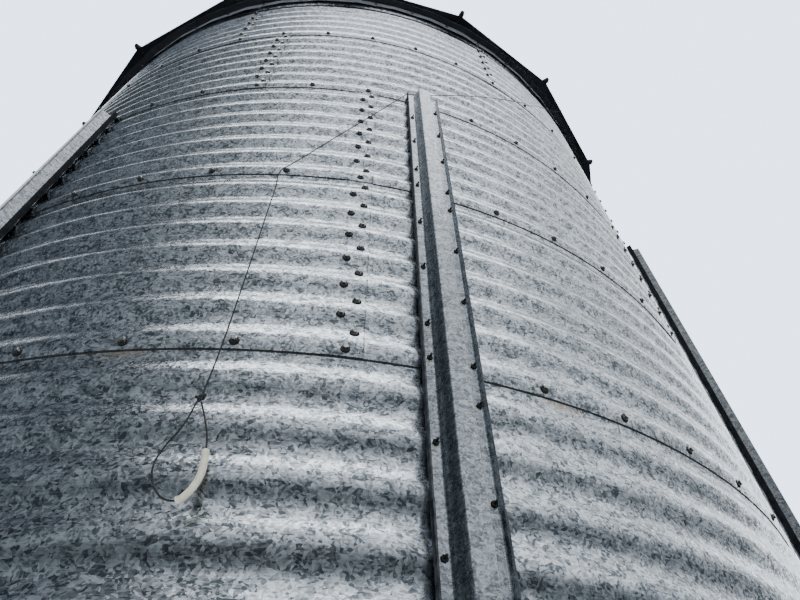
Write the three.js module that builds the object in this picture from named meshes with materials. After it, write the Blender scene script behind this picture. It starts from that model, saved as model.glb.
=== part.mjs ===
import * as THREE from 'three';
import { mergeVertices } from 'three/addons/utils/BufferGeometryUtils.js';

// A round, flat-bottomed grain silo of corrugated galvanised sheet, with outside stiffeners, a cone roof of
// eighteen flat sectors, and a cord that pulls its filling lid open from the ground.
// Millimetres, +Z up, origin on the ground at the silo's axis. An azimuth is in degrees from -Y towards +X.

// Driving dimensions of the wall
const CREST_RADIUS = 1862;
const WALL_DEPTH = 15;
const WAVE_PITCH = 104;
const WAVES_PER_RING = 7;
const RING_COUNT = 7;
const BOLTS_AROUND = 54;
const BOLT_AZIMUTH = 0.85;
const GAP = 0.3;

// Stiffeners: one for each of the nine sheets of a ring
const STIFFENER_COUNT = 9;
const STIFFENER_AZIMUTH = 7.417;
const STIFFENER_OVERRUN = 26;
const STIFFENED_RINGS = 5;
const HAT_DEPTH = 46;
const HAT_HALF_WIDTH = 61.3;
const HAT_FOOT_HALF = 32.8;
const HAT_FACE_HALF = 20.5;
const LIP_DEPTH = 21;
const HAT_SHEET = 3;

// Foot of the wall
const BASE_LEG = 50;
const BASE_SHEET = 5;

// Roof: the radii are those of the ribs, where two sectors meet
const ROOF_SECTORS = 18;
const ROOF_CORNER_AZIMUTH = -4.17;
const ROOF_EDGE_RADIUS = 1951;
const ROOF_EDGE_HEIGHT = 5063;
const ROOF_SLOPE = 30;
const ROOF_SHEET = 3;
const ROOF_PEAK_RADIUS = 286;
const RIB_HEIGHT = 42;
const RIB_THICKNESS = 8;
const RIB_NOSE = 12;

// Eave angle, the dark ring that carries the roof's edge
const EAVE_LEG_FOOT = 5027;
const EAVE_SHEET = 3;
const EAVE_FLANGE_RADIUS = 1905;

// Filling hole, lid and lever
const COLLAR_RADIUS = 285.5;
const COLLAR_SHEET = 6;
const COLLAR_RISE = 120;
const COLLAR_SKIRT_RADIUS = 360;
const LID_RADIUS = 312;
const LID_SHEET = 3;
const LID_RIM = 40;
const LID_SLOPE = 15;
const LEVER_WIDTH = 30;
const LEVER_THICKNESS = 6;
const LEVER_END_RADIUS = 560;
const LEVER_END_LIFT = 6;
const LEVER_BEND_RISE = 1;
const HINGE_WIDTH = 70;
const HINGE_THICKNESS = 20;
const HINGE_CLEARANCE = 1;
const HINGE_TO_BEND = 8;

// Pull cord
const CORD_RADIUS = 1.5;
const CORD_SIDES = 8;
const KNOT_RADIUS = 7;
const KNOT_SIDES = 12;
const KNOT_BANDS = 8;
const HANDLE_RADIUS = 6;
const HANDLE_SIDES = 12;

const RING_HEIGHT = WAVE_PITCH * WAVES_PER_RING;
const HALF_FACET = 180 / BOLTS_AROUND;
const HALF_SECTOR = 180 / ROOF_SECTORS;
const radians = THREE.MathUtils.degToRad;

// Galvanised sheet with its zinc spangle reads as a mid grey; the eave is nearly black.
const galvanised = () => new THREE.MeshStandardMaterial({ color: 0xa4abb2, roughness: 0.42, metalness: 0.85 });
const roofSteel = () => new THREE.MeshStandardMaterial({ color: 0x3b3f44, roughness: 0.55, metalness: 0.6 });
const darkPaint = () => new THREE.MeshStandardMaterial({ color: 0x14171b, roughness: 0.6, metalness: 0.1 });
const darkCord = () => new THREE.MeshStandardMaterial({ color: 0x202224, roughness: 0.8, metalness: 0 });
const creamHose = () => new THREE.MeshStandardMaterial({ color: 0xd9d2bf, roughness: 0.5, metalness: 0 });

const silo = new THREE.Group();

function addPiece(name, geometry, material) {
  const mesh = new THREE.Mesh(geometry, material);
  mesh.name = name;
  silo.add(mesh);
  return mesh;
}

function polar(azimuth, radius, height) {
  const angle = radians(azimuth);
  return new THREE.Vector3(radius * Math.sin(angle), -radius * Math.cos(angle), height);
}

// Shared corners are merged and the faces are turned outwards.
function closedBody(geometry) {
  geometry.deleteAttribute('normal');
  geometry.deleteAttribute('uv');
  const merged = mergeVertices(geometry, 1e-3);
  const corner = merged.attributes.position;
  const kept = [];
  let volume = 0;
  for (let i = 0; i < merged.index.count; i += 3) {
    const face = [0, 1, 2].map((k) => merged.index.getX(i + k));
    if (face[0] !== face[1] && face[1] !== face[2] && face[0] !== face[2]) {
      const [a, b, c] = face.map((k) => new THREE.Vector3().fromBufferAttribute(corner, k));
      volume += a.dot(b.cross(c));
      kept.push(face);
    }
  }
  merged.setIndex(kept.flatMap(([a, b, c]) => (volume < 0 ? [a, c, b] : [a, b, c])));
  merged.computeVertexNormals();
  return merged;
}

// A closed profile of [radius, height] corners, turned about the silo's axis
function turned(profile, segments, firstAzimuth) {
  const points = [...profile, profile[0]].map(([radius, height]) => new THREE.Vector2(radius, height));
  const geometry = new THREE.LatheGeometry(points, segments, radians(firstAzimuth));
  geometry.rotateX(Math.PI / 2);
  return closedBody(geometry);
}

// A body between matching loops of corners, open-ended loops being closed by flat caps
function lofted(loops, outline, joinsEnds) {
  const size = loops[0].length;
  const spans = joinsEnds ? loops.length : loops.length - 1;
  const index = [];
  for (let s = 0; s < spans; s += 1) {
    const here = s * size;
    const next = ((s + 1) % loops.length) * size;
    for (let k = 0; k < size; k += 1) {
      const l = (k + 1) % size;
      index.push(here + k, next + k, next + l, here + k, next + l, here + l);
    }
  }
  if (!joinsEnds) {
    const last = (loops.length - 1) * size;
    for (const [a, b, c] of THREE.ShapeUtils.triangulateShape(outline, [])) {
      index.push(a, b, c, last + a, last + c, last + b);
    }
  }
  const geometry = new THREE.BufferGeometry();
  geometry.setAttribute('position', new THREE.Float32BufferAttribute(loops.flat().flatMap((p) => p.toArray()), 3));
  geometry.setIndex(index);
  return closedBody(geometry);
}

// Radius of a regular ring of facets whose flats touch a circle
function facetRadius(azimuth, flatRadius) {
  const step = 2 * HALF_FACET;
  const offset = azimuth - BOLT_AZIMUTH - step * Math.round((azimuth - BOLT_AZIMUTH) / step);
  return flatRadius / Math.cos(radians(offset));
}

// The roof's underside is a pyramid. A sector's middle line is a little steeper than its ribs.
const ribSlope = radians(ROOF_SLOPE);
const edgeFlat = ROOF_EDGE_RADIUS * Math.cos(radians(HALF_SECTOR));
const sectorSlope = Math.atan(Math.tan(ribSlope) / Math.cos(radians(HALF_SECTOR)));

function roofUnderside(azimuth, radius) {
  const middle = ROOF_CORNER_AZIMUTH + HALF_SECTOR;
  const step = 2 * HALF_SECTOR;
  const offset = azimuth - middle - step * Math.round((azimuth - middle) / step);
  return ROOF_EDGE_HEIGHT + Math.tan(sectorSlope) * (edgeFlat - radius * Math.cos(radians(offset)));
}

// Wall: seven rings, each a band as deep as its corrugation, with flats where bolts and stiffeners sit
function makeWall() {
  const outer = CREST_RADIUS / Math.cos(radians(HALF_FACET));
  const inner = (CREST_RADIUS - WALL_DEPTH) / Math.cos(radians(HALF_FACET));
  for (let n = 1; n <= RING_COUNT; n += 1) {
    const low = (n - 1) * RING_HEIGHT + (n > 1 ? GAP : 0);
    const high = n * RING_HEIGHT;
    const profile = [[inner, low], [outer, low], [outer, high], [inner, high]];
    const ring = turned(profile, BOLTS_AROUND, BOLT_AZIMUTH + HALF_FACET);
    addPiece(`wall_ring_${n}`, ring, galvanised());
  }
}

// Stiffener: a hat section with flanges on the wall and lips turned outwards, standing on the ground
function makeStiffeners() {
  const top = STIFFENED_RINGS * RING_HEIGHT + STIFFENER_OVERRUN;
  const inside = HAT_DEPTH - HAT_SHEET;
  const webLean = Math.atan((HAT_FOOT_HALF - HAT_FACE_HALF) / inside);
  const webInset = HAT_SHEET / Math.cos(webLean) - HAT_SHEET * Math.tan(webLean);
  const half = [
    [HAT_FACE_HALF - webInset, inside],
    [HAT_FOOT_HALF - webInset, 0],
    [HAT_HALF_WIDTH, 0],
    [HAT_HALF_WIDTH, LIP_DEPTH],
    [HAT_HALF_WIDTH - HAT_SHEET, LIP_DEPTH],
    [HAT_HALF_WIDTH - HAT_SHEET, HAT_SHEET],
    [HAT_FOOT_HALF, HAT_SHEET],
    [HAT_FACE_HALF, HAT_DEPTH],
  ];
  const mirrored = half.map(([across, out]) => [-across, out]).reverse();
  const section = new THREE.Shape([...half, ...mirrored].map(([across, out]) => new THREE.Vector2(across, -out)));
  for (let n = 1; n <= STIFFENER_COUNT; n += 1) {
    const azimuth = STIFFENER_AZIMUTH + ((n - 1) * 360) / STIFFENER_COUNT;
    const geometry = new THREE.ExtrudeGeometry(section, { depth: top, bevelEnabled: false });
    const mesh = addPiece(`stiffener_${n}`, closedBody(geometry), galvanised());
    mesh.position.copy(polar(azimuth, CREST_RADIUS + GAP, 0));
    mesh.rotation.z = radians(azimuth);
  }
}

// Foot: a rolled angle inside the wall, and the flat bottom within it
function makeFoot() {
  const face = CREST_RADIUS - WALL_DEPTH - GAP;
  const toVertex = 1 / Math.cos(radians(HALF_FACET));
  const profile = [
    [face - BASE_LEG, 0],
    [face, 0],
    [face, BASE_LEG],
    [face - BASE_SHEET, BASE_LEG],
    [face - BASE_SHEET, BASE_SHEET],
    [face - BASE_LEG, BASE_SHEET],
  ].map(([radius, height]) => [radius * toVertex, height]);
  addPiece('base_angle', turned(profile, BOLTS_AROUND, BOLT_AZIMUTH + HALF_FACET), galvanised());
  const plateRadius = (face - BASE_LEG - GAP) * toVertex;
  const plate = new THREE.CylinderGeometry(plateRadius, plateRadius, BASE_SHEET, BOLTS_AROUND);
  plate.rotateX(Math.PI / 2);
  plate.rotateZ(radians(BOLT_AZIMUTH + HALF_FACET));
  plate.translate(0, 0, BASE_SHEET / 2);
  addPiece('floor_plate', closedBody(plate), galvanised());
}

// Eave angle: a leg round the top of the wall and a flange under the roof sheets
function makeEaveAngle() {
  const loops = [];
  for (let k = 0; k < BOLTS_AROUND; k += 1) {
    const azimuth = BOLT_AZIMUTH + HALF_FACET + k * 2 * HALF_FACET;
    const inner = facetRadius(azimuth, CREST_RADIUS) + GAP;
    const outer = inner + EAVE_SHEET;
    const under = (radius) => roofUnderside(azimuth, radius) - GAP;
    const drop = EAVE_SHEET / Math.cos(ribSlope);
    loops.push([
      polar(azimuth, inner, EAVE_LEG_FOOT),
      polar(azimuth, outer, EAVE_LEG_FOOT),
      polar(azimuth, outer, under(outer) - drop),
      polar(azimuth, EAVE_FLANGE_RADIUS, under(EAVE_FLANGE_RADIUS) - drop),
      polar(azimuth, EAVE_FLANGE_RADIUS, under(EAVE_FLANGE_RADIUS)),
      polar(azimuth, inner, under(inner)),
    ]);
  }
  addPiece('eave_angle', lofted(loops, null, true), darkPaint());
}

// Roof sheet: a flat sector whose long edges turn up into half of a rib. The outline is not to scale; it has the
// corners of the sheet's section in their order, for the two end caps.
function makeRoofSheets() {
  const outline = [[0, 0], [10, 0], [10, 3], [9, 3], [9, 1], [1, 1], [1, 3], [0, 3]];
  const flatOutline = outline.map(([x, y]) => new THREE.Vector2(x, y));
  for (let n = 1; n <= ROOF_SECTORS; n += 1) {
    const left = ROOF_CORNER_AZIMUTH + (n - 1) * 2 * HALF_SECTOR;
    const middle = left + HALF_SECTOR;
    const right = left + 2 * HALF_SECTOR;
    const lift = polar(middle, Math.sin(sectorSlope), Math.cos(sectorSlope)).multiplyScalar(ROOF_SHEET);
    const section = (radius, nose) => {
      const height = ROOF_EDGE_HEIGHT + (ROOF_EDGE_RADIUS - radius) * Math.tan(ribSlope);
      const side = (azimuth, inward) => {
        const across = polar(middle + 90, inward, 0);
        const up = polar(azimuth, Math.sin(ribSlope), Math.cos(ribSlope)).multiplyScalar(RIB_HEIGHT);
        const out = polar(azimuth, Math.cos(ribSlope), -Math.sin(ribSlope)).multiplyScalar(nose);
        const foot = polar(azimuth, radius, height).addScaledVector(across, GAP);
        const inner = foot.clone().addScaledVector(across, RIB_THICKNESS);
        return {
          foot,
          crown: foot.clone().add(up).add(out),
          innerCrown: inner.clone().add(up).add(out),
          innerFoot: inner.clone().add(lift),
        };
      };
      const a = side(left, 1);
      const b = side(right, -1);
      return [a.foot, b.foot, b.crown, b.innerCrown, b.innerFoot, a.innerFoot, a.innerCrown, a.crown];
    };
    const loops = [section(ROOF_EDGE_RADIUS, RIB_NOSE), section(ROOF_PEAK_RADIUS, 0)];
    const number = String(n).padStart(2, '0');
    addPiece(`roof_sheet_${number}`, lofted(loops, flatOutline, false), roofSteel());
  }
}

// Peak: a collar whose skirt lies under the roof sheets, and the lid with its hinge and lever
const leverAzimuth = ROOF_CORNER_AZIMUTH + 5 * HALF_SECTOR;
const collarTop = ROOF_EDGE_HEIGHT + (ROOF_EDGE_RADIUS - COLLAR_RADIUS) * Math.tan(ribSlope) + COLLAR_RISE;
const lidFall = Math.tan(radians(LID_SLOPE));
const lidInner = LID_RADIUS - LID_SHEET;
const lidEdge = collarTop + GAP - (lidInner - COLLAR_RADIUS) * lidFall;

function makePeak() {
  const under = (radius) => ROOF_EDGE_HEIGHT + (ROOF_EDGE_RADIUS - radius) * Math.tan(ribSlope) - GAP;
  const bore = COLLAR_RADIUS - COLLAR_SHEET;
  const skirt = [
    [bore, under(COLLAR_RADIUS) - COLLAR_SHEET],
    [COLLAR_RADIUS, under(COLLAR_RADIUS) - COLLAR_SHEET],
    [COLLAR_SKIRT_RADIUS, under(COLLAR_SKIRT_RADIUS) - COLLAR_SHEET],
    [COLLAR_SKIRT_RADIUS, under(COLLAR_SKIRT_RADIUS)],
    [COLLAR_RADIUS, under(COLLAR_RADIUS)],
    [COLLAR_RADIUS, collarTop],
    [bore, collarTop],
  ];
  addPiece('peak_collar', turned(skirt, ROOF_SECTORS, ROOF_CORNER_AZIMUTH), roofSteel());

  const lidTop = lidEdge + lidInner * lidFall;
  const lid = [
    [0, lidTop],
    [lidInner, lidEdge],
    [lidInner, lidEdge - LID_RIM],
    [LID_RADIUS, lidEdge - LID_RIM],
    [LID_RADIUS, lidEdge + LID_SHEET],
    [0, lidTop + LID_SHEET],
  ];
  addPiece('filling_lid', turned(lid, 2 * ROOF_SECTORS, ROOF_CORNER_AZIMUTH), roofSteel());
}

function makeLever() {
  const sheetTop = (radius) => roofUnderside(leverAzimuth, radius) + ROOF_SHEET / Math.cos(sectorSlope);
  const lidTopAt = (radius) => lidEdge + LID_SHEET + (LID_RADIUS - radius) * lidFall + GAP;
  const start = LID_RADIUS / 2;
  const near = LID_RADIUS + HINGE_CLEARANCE;
  const far = near + HINGE_THICKNESS;
  const bend = far + HINGE_TO_BEND;
  const leverUnder = (radius) => lidTopAt(radius) + (LEVER_BEND_RISE * (radius - start)) / (bend - start);
  const lower = [
    [start, leverUnder(start)],
    [bend, leverUnder(bend)],
    [LEVER_END_RADIUS, sheetTop(LEVER_END_RADIUS) + LEVER_END_LIFT],
  ];
  const upper = lower.map(([radius, height]) => [radius, height + LEVER_THICKNESS]).reverse();
  const outline = new THREE.Shape([...lower, ...upper].map(([radius, height]) => new THREE.Vector2(radius, height)));
  const bar = new THREE.ExtrudeGeometry(outline, { depth: LEVER_WIDTH, bevelEnabled: false });
  bar.translate(0, 0, -LEVER_WIDTH / 2);
  bar.rotateX(Math.PI / 2);
  bar.rotateZ(radians(leverAzimuth - 90));
  addPiece('lid_lever', closedBody(bar), roofSteel());

  const block = new THREE.Shape([
    new THREE.Vector2(near, sheetTop(near) + GAP),
    new THREE.Vector2(far, sheetTop(far) + GAP),
    new THREE.Vector2(far, leverUnder(far) - GAP),
    new THREE.Vector2(near, leverUnder(near) - GAP),
  ]);
  const hinge = new THREE.ExtrudeGeometry(block, { depth: HINGE_WIDTH, bevelEnabled: false });
  hinge.translate(0, 0, -HINGE_WIDTH / 2);
  hinge.rotateX(Math.PI / 2);
  hinge.rotateZ(radians(leverAzimuth - 90));
  addPiece('lid_hinge', closedBody(hinge), roofSteel());
}

// Cord route as [azimuth, radius, height]: from the lever's end down the roof sheet, over its edge, in to the wall,
// over a bolt of the sixth seam, over the top of stiffener 1, over a bolt of the fourth seam, then plumb.
const cordRoute = [
  [45.83, 560.9, 5873.3],
  [45.82, 574, 5871],
  [45.8, 595, 5849],
  [45.7, 620, 5832.5],
  [45.4, 900, 5668.3],
  [44.2, 1300, 5434.1],
  [43.0, 1650, 5229.8],
  [42.4, 1860, 5107.6],
  [42.3, 1914, 5076.2],
  [42.27, 1923, 5070.9],
  [42.26, 1928, 5067.4],
  [42.25, 1928.8, 5062],
  [42.2, 1926, 5053],
  [41.0, 1900, 5006],
  [39.3, 1873, 4952],
  [38.6, 1871.5, 4918],
  [35.5, 1870, 4765],
  [31.5, 1870, 4570],
  [28.2, 1871, 4397],
  [27.5, 1871, 4380],
  [23.0, 1870, 4208],
  [18.5, 1870, 4048],
  [14.0, 1870, 3902],
  [10.5, 1870, 3793],
  [8.0, 1870, 3722],
  [5.65, 1870, 3674.5],
  [5.4, 1870, 3666],
  [5.2, 1870, 3650],
  [1.7, 1870, 3398],
  [-2.1, 1870, 3148],
  [-5.65, 1871, 2930],
  [-6.05, 1871, 2912],
  [-6.15, 1871, 2780],
  [-6.2, 1871, 2560],
  [-6.25, 1871, 2340],
  [-6.35, 1871, 2140],
  [-6.5, 1871, 2044],
];
const knotPlace = [-6.53, 1873, 2036.5];
const leftStrand = [
  [-6.64, 1872, 2029.5],
  [-6.95, 1871, 1978],
  [-7.45, 1871, 1938],
  [-7.68, 1871, 1905],
  [-7.5, 1871, 1876],
  [-7.05, 1872, 1853],
  [-6.6, 1873.5, 1841.5],
  [-6.35, 1874, 1839.2],
  [-6.12, 1874, 1839],
];
const handleCurve = [
  [-6.1, 1874, 1839],
  [-5.95, 1874, 1840.5],
  [-5.72, 1874, 1849],
  [-5.48, 1874, 1864],
  [-5.34, 1874, 1882],
  [-5.33, 1874, 1903],
  [-5.42, 1874, 1928],
];
const rightStrand = [
  [-5.424, 1874, 1928.7],
  [-5.58, 1873, 1956],
  [-5.95, 1871.5, 1992],
  [-6.42, 1872, 2029.5],
];

// A smooth curve whose steps fall on the listed points and midway between them
class HandRoute extends THREE.CatmullRomCurve3 {
  getPointAt(u) {
    return this.getPoint(u);
  }

  getTangentAt(u) {
    return this.getTangent(u);
  }
}

function tube(route, radius, sides) {
  const curve = new HandRoute(route.map((point) => polar(...point)));
  const corners = [];
  for (let k = 0; k < sides; k += 1) {
    const angle = (2 * Math.PI * k) / sides;
    corners.push(new THREE.Vector2(radius * Math.cos(angle), radius * Math.sin(angle)));
  }
  const steps = 2 * (route.length - 1);
  const shape = new THREE.Shape(corners);
  return closedBody(new THREE.ExtrudeGeometry(shape, { steps, extrudePath: curve, bevelEnabled: false }));
}

function makeCord() {
  addPiece('pull_cord', tube(cordRoute, CORD_RADIUS, CORD_SIDES), darkCord());
  addPiece('cord_loop_left', tube(leftStrand, CORD_RADIUS, CORD_SIDES), darkCord());
  addPiece('cord_loop_right', tube(rightStrand, CORD_RADIUS, CORD_SIDES), darkCord());
  addPiece('loop_handle', tube(handleCurve, HANDLE_RADIUS, HANDLE_SIDES), creamHose());
  const knot = new THREE.SphereGeometry(KNOT_RADIUS, KNOT_SIDES, KNOT_BANDS);
  const mesh = addPiece('cord_knot', closedBody(knot), darkCord());
  mesh.position.copy(polar(...knotPlace));
}

makeWall();
makeStiffeners();
makeFoot();
makeEaveAngle();
makeRoofSheets();
makePeak();
makeLever();
makeCord();

export default silo;
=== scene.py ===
import math

import bmesh
import bpy
from mathutils import Matrix, Vector


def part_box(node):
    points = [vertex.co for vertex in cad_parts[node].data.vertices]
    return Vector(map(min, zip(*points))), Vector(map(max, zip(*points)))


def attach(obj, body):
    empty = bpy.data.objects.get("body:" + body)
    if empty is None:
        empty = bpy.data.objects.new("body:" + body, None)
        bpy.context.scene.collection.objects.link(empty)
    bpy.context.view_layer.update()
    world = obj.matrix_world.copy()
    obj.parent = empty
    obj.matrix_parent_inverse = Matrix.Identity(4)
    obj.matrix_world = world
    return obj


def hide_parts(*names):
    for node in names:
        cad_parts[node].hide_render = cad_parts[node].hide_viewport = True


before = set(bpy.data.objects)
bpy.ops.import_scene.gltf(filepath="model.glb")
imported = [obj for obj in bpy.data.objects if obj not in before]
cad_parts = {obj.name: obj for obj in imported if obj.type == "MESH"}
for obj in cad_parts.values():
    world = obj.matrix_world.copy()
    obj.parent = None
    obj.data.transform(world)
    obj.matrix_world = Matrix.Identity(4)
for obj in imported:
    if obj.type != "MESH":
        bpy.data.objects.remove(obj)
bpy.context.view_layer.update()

# Camera: held 1.36 metres above the ground and eighty centimetres from the wall, and aimed steeply up along
# it, so that the rings grow narrow towards the eave. Its lens is wide, and it leans a degree to the right.
CAMERA_PLACE = Vector((0.0, -2.6678, 1.3567))
CAMERA_PAN = math.radians(9.7717)
CAMERA_TILT = math.radians(51.0237)
CAMERA_ROLL = math.radians(-1.0309)
SENSOR_WIDTH = 36.0
FOCAL_LENGTH = 26.31

camera_data = bpy.data.cameras.new("camera")
camera_data.sensor_width = SENSOR_WIDTH
camera_data.lens = FOCAL_LENGTH
camera = bpy.data.objects.new("camera", camera_data)
bpy.context.scene.collection.objects.link(camera)
bpy.context.scene.camera = camera
look = Matrix.Rotation(math.pi / 2 + CAMERA_TILT, 4, "X") @ Matrix.Rotation(CAMERA_ROLL, 4, "Z")
camera.matrix_world = Matrix.Translation(CAMERA_PLACE) @ Matrix.Rotation(-CAMERA_PAN, 4, "Z") @ look

# Pull cord: three millimetres of dark braid from the end of the lid lever down the roof and over the eave. It
# is hooked over a seam bolt, the top of a stiffener and a second seam bolt, and then hangs plumb to its knot
# and the loop below it.
CORD_DIAMETER = 0.003
CURVE_STEPS = 8
CURVE_ROUNDING = 3
CLOUD_RANGE = (0.3, 0.7)
BRAID_TONES = [(0.35, (0.006, 0.007, 0.008)), (0.7, (0.045, 0.048, 0.05))]
BRAID_RELIEF = 0.0004

# Each point of a route is an azimuth in degrees from -Y towards +X, a distance from the axis and a height.
CORD_ROUTE = [
    (45.83, 0.5609, 5.8733),
    (45.82, 0.574, 5.871),
    (45.8, 0.595, 5.849),
    (45.7, 0.620, 5.8325),
    (45.4, 0.900, 5.6683),
    (44.2, 1.300, 5.4341),
    (43.0, 1.650, 5.2298),
    (42.4, 1.860, 5.1076),
    (42.3, 1.914, 5.0762),
    (42.27, 1.923, 5.0709),
    (42.26, 1.928, 5.0674),
    (42.25, 1.9288, 5.062),
    (42.2, 1.926, 5.053),
    (41.0, 1.900, 5.006),
    (39.3, 1.873, 4.952),
    (38.6, 1.8715, 4.918),
    (35.5, 1.870, 4.765),
    (31.5, 1.870, 4.570),
    (28.2, 1.871, 4.397),
    (27.5, 1.871, 4.380),
    (23.0, 1.870, 4.208),
    (18.5, 1.870, 4.048),
    (14.0, 1.870, 3.902),
    (10.5, 1.870, 3.793),
    (8.0, 1.870, 3.722),
    (5.65, 1.870, 3.6745),
    (5.4, 1.870, 3.666),
    (5.2, 1.870, 3.650),
    (1.7, 1.870, 3.398),
    (-2.1, 1.870, 3.148),
    (-5.65, 1.871, 2.930),
    (-6.05, 1.871, 2.912),
    (-6.15, 1.871, 2.780),
    (-6.2, 1.871, 2.560),
    (-6.25, 1.871, 2.340),
    (-6.35, 1.871, 2.140),
    (-6.5, 1.871, 2.044),
]
LOOP_ROUTE = [
    (-6.64, 1.872, 2.0295),
    (-6.95, 1.871, 1.978),
    (-7.45, 1.871, 1.938),
    (-7.68, 1.871, 1.905),
    (-7.5, 1.871, 1.876),
    (-7.05, 1.872, 1.853),
    (-6.6, 1.8735, 1.8415),
    (-6.1, 1.874, 1.839),
    (-5.95, 1.874, 1.8405),
    (-5.72, 1.874, 1.849),
    (-5.48, 1.874, 1.864),
    (-5.34, 1.874, 1.882),
    (-5.33, 1.874, 1.903),
    (-5.42, 1.874, 1.928),
    (-5.58, 1.873, 1.956),
    (-5.95, 1.8715, 1.992),
    (-6.42, 1.872, 2.0295),
]


def polar(azimuth, radius, height):
    """A point by its azimuth in degrees from -Y towards +X, its distance from the axis and its height."""
    angle = math.radians(azimuth)
    return Vector((radius * math.sin(angle), -radius * math.cos(angle), height))


def smooth_curve(name, points, radius):
    """A round bar of that radius along one smooth open curve through the points."""
    data = bpy.data.curves.new(name, "CURVE")
    data.dimensions = "3D"
    data.resolution_u = CURVE_STEPS
    data.bevel_depth = radius
    data.bevel_resolution = CURVE_ROUNDING
    data.use_fill_caps = True
    spline = data.splines.new("BEZIER")
    spline.bezier_points.add(len(points) - 1)
    for bend, point in zip(spline.bezier_points, points):
        bend.co = point
        bend.handle_left_type = "AUTO"
        bend.handle_right_type = "AUTO"
    curve = bpy.data.objects.new(name, data)
    bpy.context.scene.collection.objects.link(curve)
    return curve


def add_node(tree, kind, sockets=None, **settings):
    """A shader node with its settings, its input values and the links that feed it."""
    node = tree.nodes.new(kind)
    for name, value in settings.items():
        setattr(node, name, value)
    for name, value in (sockets or {}).items():
        if isinstance(value, bpy.types.NodeSocket):
            tree.links.new(value, node.inputs[name])
        else:
            node.inputs[name].default_value = value
    return node


def new_material(name, metallic, roughness, specular=0.5):
    """A material with its node tree and shader, ready for its surface pattern."""
    material = bpy.data.materials.new(name)
    material.use_nodes = True
    tree = material.node_tree
    shader = tree.nodes["Principled BSDF"]
    shader.inputs["Metallic"].default_value = metallic
    shader.inputs["Roughness"].default_value = roughness
    shader.inputs["Specular IOR Level"].default_value = specular
    return material, tree, shader


def own_places(tree):
    """The piece's own coordinates, in metres."""
    return add_node(tree, "ShaderNodeTexCoord").outputs["Object"]


def noise(tree, places, scale, detail, output="Fac"):
    """Clouds over places: values about a half, or colours about grey where the output says so."""
    sockets = {"Vector": places, "Scale": scale, "Detail": detail}
    return add_node(tree, "ShaderNodeTexNoise", sockets).outputs[output]


def colour_ramp(tree, value, stops):
    """A colour ramp over a value, its stops given as position and colour."""
    ramp = add_node(tree, "ShaderNodeValToRGB", {"Fac": value})
    while len(ramp.color_ramp.elements) < len(stops):
        ramp.color_ramp.elements.new(0.5)
    for element, (position, colour) in zip(ramp.color_ramp.elements, stops):
        element.position = position
        element.color = (*colour, 1.0)
    return ramp.outputs["Color"]


def mapped(tree, value, low, high, to_low, to_high):
    """A value brought from one range to another and kept inside it."""
    sockets = {"Value": value, "From Min": low, "From Max": high, "To Min": to_low, "To Max": to_high}
    return add_node(tree, "ShaderNodeMapRange", sockets).outputs["Result"]


def cloud_group():
    """Clouds in the piece's own coordinates, as stains, dust and threads lie on it."""
    group = bpy.data.node_groups.new("clouds", "ShaderNodeTree")
    for name in ("Scale", "Detail"):
        group.interface.new_socket(name, in_out="INPUT", socket_type="NodeSocketFloat")
    group.interface.new_socket("Clouds", in_out="OUTPUT", socket_type="NodeSocketFloat")
    given = group.nodes.new("NodeGroupInput").outputs
    out = group.nodes.new("NodeGroupOutput").inputs
    group.links.new(noise(group, own_places(group), given["Scale"], given["Detail"]), out["Clouds"])
    return group


CLOUDS = cloud_group()


def clouds_over(tree, scale, detail):
    """The clouds placed in a material, with its own size and fineness."""
    sockets = {"Scale": scale, "Detail": detail}
    return add_node(tree, "ShaderNodeGroup", sockets, node_tree=CLOUDS).outputs["Clouds"]


def mottled(name, tones, scale, detail, roughness, metallic=0.0, specular=0.5, rough_range=None, relief=0.0,
            strength=1.0):
    """A material in cloudy tones. Its roughness and its relief can follow the same clouds."""
    material, tree, shader = new_material(name, metallic, roughness, specular)
    clouds = clouds_over(tree, scale, detail)
    tree.links.new(colour_ramp(tree, clouds, tones), shader.inputs["Base Color"])
    if rough_range:
        tree.links.new(mapped(tree, clouds, *CLOUD_RANGE, *rough_range), shader.inputs["Roughness"])
    if relief:
        bump = add_node(tree, "ShaderNodeBump", {"Height": clouds, "Distance": relief, "Strength": strength})
        tree.links.new(bump.outputs["Normal"], shader.inputs["Normal"])
    return material


braid = mottled("dark_braid", BRAID_TONES, scale=600.0, detail=3.0, roughness=0.75, relief=BRAID_RELIEF)
pull_cord = smooth_curve("pull_cord_braid", [polar(*point) for point in CORD_ROUTE], CORD_DIAMETER / 2)
cord_loop = smooth_curve("cord_loop_braid", [polar(*point) for point in LOOP_ROUTE], CORD_DIAMETER / 2)
for piece in (pull_cord, cord_loop):
    piece.data.materials.append(braid)
    # Small dark pieces are left out of the zinc's mirror images, where they would show as stray marks.
    piece.visible_glossy = False
    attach(piece, "root")
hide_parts("pull_cord")
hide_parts("cord_loop_left", "cord_loop_right")

# Cord knot: an overhand knot that closes the cord into a loop. It is pulled tight, so that the braid bunches
# up thicker in it, and its two cut ends stand off to the sides.
KNOT_PLACE = (-6.53, 1.873, 2.0365)
KNOT_UNIT = 0.0021
KNOT_STRAND = 0.0022
KNOT_STEPS = 26
KNOT_GAP = 0.04
END_LENGTH = 0.012
FIRST_END_RISE = 0.5
LAST_END_RISE = 0.7


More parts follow.
